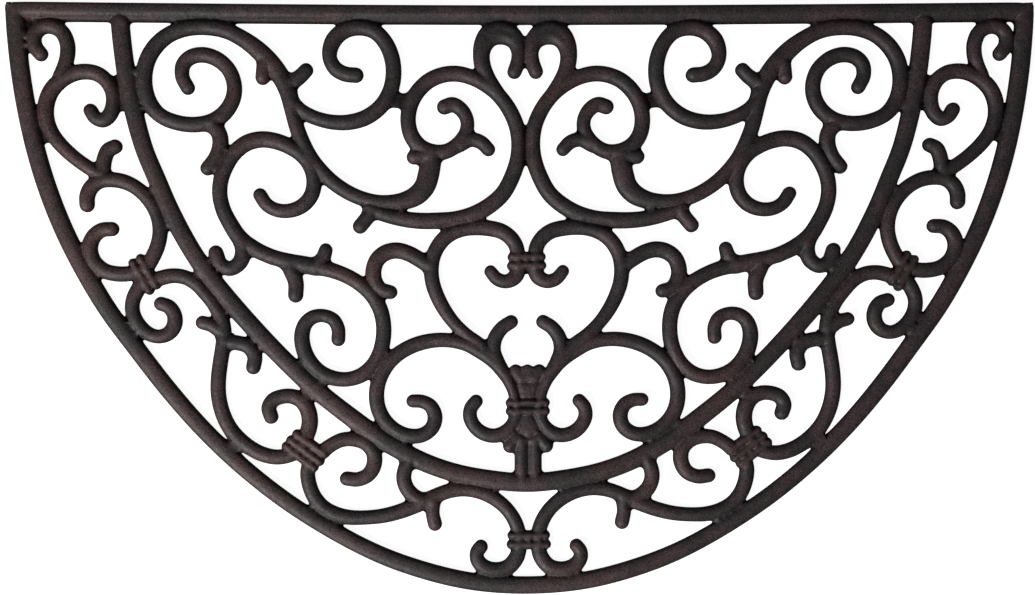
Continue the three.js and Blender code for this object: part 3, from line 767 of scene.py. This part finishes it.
def evened(spots, heights, faces, fixed):
    """The heights evened out between close neighbours. The first ones stay as they are."""
    start, end = np.vstack([faces[:, [0, 1]], faces[:, [1, 2]], faces[:, [2, 0]]]).T
    weight = np.exp(-(np.linalg.norm(spots[start] - spots[end], axis=1) / SOFT_REACH) ** 2)
    share = 1 + np.bincount(start, weight, len(spots))
    for _ in range(SOFT_PASSES):
        mean = (heights + np.bincount(start, weight * heights[end], len(spots))) / share
        heights = np.concatenate([heights[:fixed], mean[fixed:]])
    return heights


def inside_faces(spots, borders):
    """Triangles that fill the outline, anticlockwise. The borders have the inside on their left."""
    _, _, faces, origin, _, _ = geometry.delaunay_2d_cdt(
        [Vector(p) for p in spots.tolist()], borders.tolist(), [], 0, 1e-6, True
    )
    if any(len(old) != 1 for old in origin):
        raise RuntimeError("the triangulation joined or made corners")
    back = np.array([old[0] for old in origin])
    faces = back[np.array([list(face) for face in faces])]
    a, b, c = (spots[faces[:, k]] for k in range(3))
    area = (b[:, 0] - a[:, 0]) * (c[:, 1] - a[:, 1]) - (b[:, 1] - a[:, 1]) * (c[:, 0] - a[:, 0])
    faces[area < 0] = faces[area < 0][:, ::-1]

    # From the borders the inside spreads over every side that is no border
    corners = faces.tolist()
    owner = {}
    for i, (a, b, c) in enumerate(corners):
        owner[a, b] = owner[b, c] = owner[c, a] = i
    walls = set(map(tuple, borders.tolist()))
    inside = {owner[side] for side in walls}
    waiting = list(inside)
    while waiting:
        a, b, c = corners[waiting.pop()]
        for side in ((a, b), (b, c), (c, a)):
            beside = owner.get(side[::-1])
            if side not in walls and beside not in inside:
                inside.add(beside)
                waiting.append(beside)
    return faces[sorted(inside)]


def make_mat():
    """The mat as one mesh, in metres."""
    corners, faces = mat_mesh(all_bars(), all_relief())
    mesh = bpy.data.meshes.new("mat_rubber")
    mesh.vertices.add(len(corners))
    mesh.vertices.foreach_set("co", (corners * MM).astype(np.float32).ravel())
    mesh.loops.add(len(faces) * 3)
    mesh.loops.foreach_set("vertex_index", faces.astype(np.int32).ravel())
    mesh.polygons.add(len(faces))
    mesh.polygons.foreach_set("loop_start", np.arange(0, len(faces) * 3, 3, dtype=np.int32))
    mesh.polygons.foreach_set("use_smooth", np.ones(len(faces), bool))
    mesh.update(calc_edges=True)
    mesh.validate()
    mesh.set_sharp_from_angle(angle=math.radians(60))
    piece = bpy.data.objects.new("mat_rubber", mesh)
    bpy.context.scene.collection.objects.link(piece)
    return piece


class Shader:
    """A short way to make nodes and join them."""

    def __init__(self, name):
        self.material = bpy.data.materials.new(name)
        self.material.use_nodes = True
        self.tree = self.material.node_tree
        self.surface = self.tree.nodes["Principled BSDF"]

    def node(self, kind, **settings):
        made = self.tree.nodes.new(kind)
        for key, value in settings.items():
            if key in made.inputs.keys():
                made.inputs[key].default_value = value
            else:
                setattr(made, key, value)
        return made

    def link(self, source, target):
        self.tree.links.new(source, target)


def rubber():
    """Matte moulded rubber: charcoal with warm brown patches, a fine grain, painted shade low down."""
    s = Shader("rubber")
    place = s.node("ShaderNodeTexCoord").outputs["Object"]

    def noise(scale, detail=3, rough=0.55, seed=0):
        n = s.node(
            "ShaderNodeTexNoise", noise_dimensions="4D", Scale=scale, Detail=detail,
            Roughness=rough, W=seed,
        )
        s.link(place, n.inputs["Vector"])
        return n.outputs["Fac"]

    def ramp(source, *stops):
        """A colour ramp. A stop's colour may be one number, for a grey."""
        r = s.node("ShaderNodeValToRGB")
        s.link(source, r.inputs["Fac"])
        while len(r.color_ramp.elements) < len(stops):
            r.color_ramp.elements.new(0.5)
        for element, (at, colour) in zip(r.color_ramp.elements, stops):
            element.position = at
            element.color = (*(colour if isinstance(colour, tuple) else (colour,) * 3), 1)
        return r.outputs["Color"]

    def mix(kind, factor, a, b):
        m = s.node("ShaderNodeMix", data_type="RGBA", blend_type=kind)
        for socket, value in zip((m.inputs[0], m.inputs[6], m.inputs[7]), (factor, a, b)):
            if isinstance(value, (int, float)):
                socket.default_value = value
            elif isinstance(value, tuple):
                socket.default_value = (*value, 1)
            else:
                s.link(value, socket)
        return m.outputs[2]

    def scaled(source, low, high, start, end, interpolation="LINEAR"):
        """The source's values from low to high, brought to the range from start to end."""
        m = s.node("ShaderNodeMapRange", interpolation_type=interpolation)
        s.link(source, m.inputs["Value"])
        for socket, value in zip(m.inputs[1:5], (low, high, start, end)):
            socket.default_value = value
        return m.outputs["Result"]

    spot = s.node("ShaderNodeSeparateXYZ")
    s.link(place, spot.inputs[0])
    # Painted shade: this height mask darkens the low places, the bars' sides and the valleys between
    # them
    height = scaled(spot.outputs["Z"], LOW_PLACE, HIGH_PLACE, 0, 1, "SMOOTHSTEP")

    # Colour: broad patches, rust over them, then blotches and the grain; painted shade comes last
    patches = ramp(noise(PATCH_NOISE), (0.38, GREY_GREEN), (0.48, CHARCOAL), (0.58, DUSKY_PINK))
    warm = s.node("ShaderNodeVectorMath", operation="DOT_PRODUCT")
    s.link(place, warm.inputs[0])
    warm.inputs[1].default_value = WARM_SIDE
    lean = s.node("ShaderNodeMath", operation="ADD")
    s.link(warm.outputs["Value"], lean.inputs[0])
    s.link(noise(RUST_NOISE, 2, seed=RUST_SEED), lean.inputs[1])
    rusty = mix("MIX", ramp(lean.outputs[0], (0.56, 0), (0.72, 0.75)), patches, RUST)
    blotches = ramp(noise(BLOTCH_NOISE, 4, 0.6), (0.3, 0.78), (0.7, 1.22))
    grain = ramp(noise(GRAIN_NOISE, 2, 0.6), (0.34, 0.05), (0.66, 2.1))
    colour = mix("MULTIPLY", 1.0, mix("MULTIPLY", 1.0, rusty, blotches), grain)
    colour = mix("MIX", scaled(spot.outputs["Z"], *RIB_TOPS, 0, RIB_RUST), colour, RUST)
    # Painted shade: the colour falls to the dark brown in the low places
    s.link(mix("MIX", height, PAINTED_SHADE_BROWN, colour), s.surface.inputs["Base Color"])

    # Surface: duller in the low places as painted shade on the shine, with a fine grain over wider
    # unevenness
    s.link(scaled(height, 0, 1, *SHEEN), s.surface.inputs["Specular IOR Level"])
    s.link(
        scaled(noise(ROUGH_NOISE, rough=0.6), 0.3, 0.7, *ROUGHNESS), s.surface.inputs["Roughness"],
    )
    bump = s.node("ShaderNodeBump", Strength=0.5, Distance=0.0003)
    s.link(noise(FINE_BUMP_NOISE, rough=0.6), bump.inputs["Height"])
    wide = s.node("ShaderNodeBump", Strength=0.35, Distance=0.0012)
    s.link(noise(WIDE_BUMP_NOISE, rough=0.5), wide.inputs["Height"])
    s.link(bump.outputs["Normal"], wide.inputs["Normal"])
    s.link(wide.outputs["Normal"], s.surface.inputs["Normal"])
    return s.material


def floor_paint():
    """A pale matte floor that glows a little."""
    s = Shader("floor_paint")
    s.surface.inputs["Base Color"].default_value = (0.5, 0.5, 0.5, 1)
    s.surface.inputs["Roughness"].default_value = 0.9
    s.surface.inputs["Specular IOR Level"].default_value = 0.1
    s.surface.inputs["Emission Color"].default_value = (1, 1, 1, 1)
    s.surface.inputs["Emission Strength"].default_value = FLOOR_GLOW
    return s.material


def rotation(axis, degrees):
    return Matrix.Rotation(math.radians(degrees), 3, axis)


def make_camera():
    """The photo's camera, almost straight above the mat."""
    turn = rotation("Y", CAMERA_YAW) @ rotation("X", CAMERA_TILT) @ rotation("Z", CAMERA_ROLL)
    place = turn @ Vector((0, 0, CAMERA_DISTANCE)) + Vector(CAMERA_AIM)
    data = bpy.data.cameras.new("camera")
    data.sensor_width = 36
    data.lens = CAMERA_LENS
    data.clip_end = 20
    camera = bpy.data.objects.new("camera", data)
    camera.matrix_world = Matrix.Translation(place * MM) @ turn.to_4x4()
    bpy.context.scene.collection.objects.link(camera)
    bpy.context.scene.camera = camera


def make_key():
    """The one soft light, which points at the middle of the mat."""
    data = bpy.data.lights.new("key", "AREA")
    data.shape = "RECTANGLE"
    data.size, data.size_y = KEY_SIZE
    data.energy = KEY
    light = bpy.data.objects.new("key", data)
    light.location = KEY_PLACE
    light.rotation_euler = (-Vector(KEY_PLACE)).to_track_quat("-Z", "Y").to_euler()
    bpy.context.scene.collection.objects.link(light)


def make_stage():
    """The floor and the even light of the studio."""
    reach, level = FLOOR_REACH, -FLOOR_DROP
    mesh = bpy.data.meshes.new("floor")
    spots = [(x * reach, y * reach, level) for x, y in ((-1, -1), (1, -1), (1, 1), (-1, 1))]
    mesh.from_pydata(spots, [], [(0, 1, 2, 3)])
    mesh.materials.append(floor_paint())
    floor = bpy.data.objects.new("floor", mesh)
    floor.visible_diffuse = False
    floor.visible_glossy = False
    bpy.context.scene.collection.objects.link(floor)
    world = bpy.data.worlds.new("studio")
    world.use_nodes = True
    sky = world.node_tree.nodes["Background"]
    sky.inputs["Color"].default_value = (1, 1, 1, 1)
    sky.inputs["Strength"].default_value = SKY
    bpy.context.scene.world = world


bpy.context.scene.view_settings.view_transform = "Standard"
make_camera()
make_stage()
make_key()
mat = make_mat()
mat.data.materials.append(rubber())
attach(mat, "root")
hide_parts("mat")
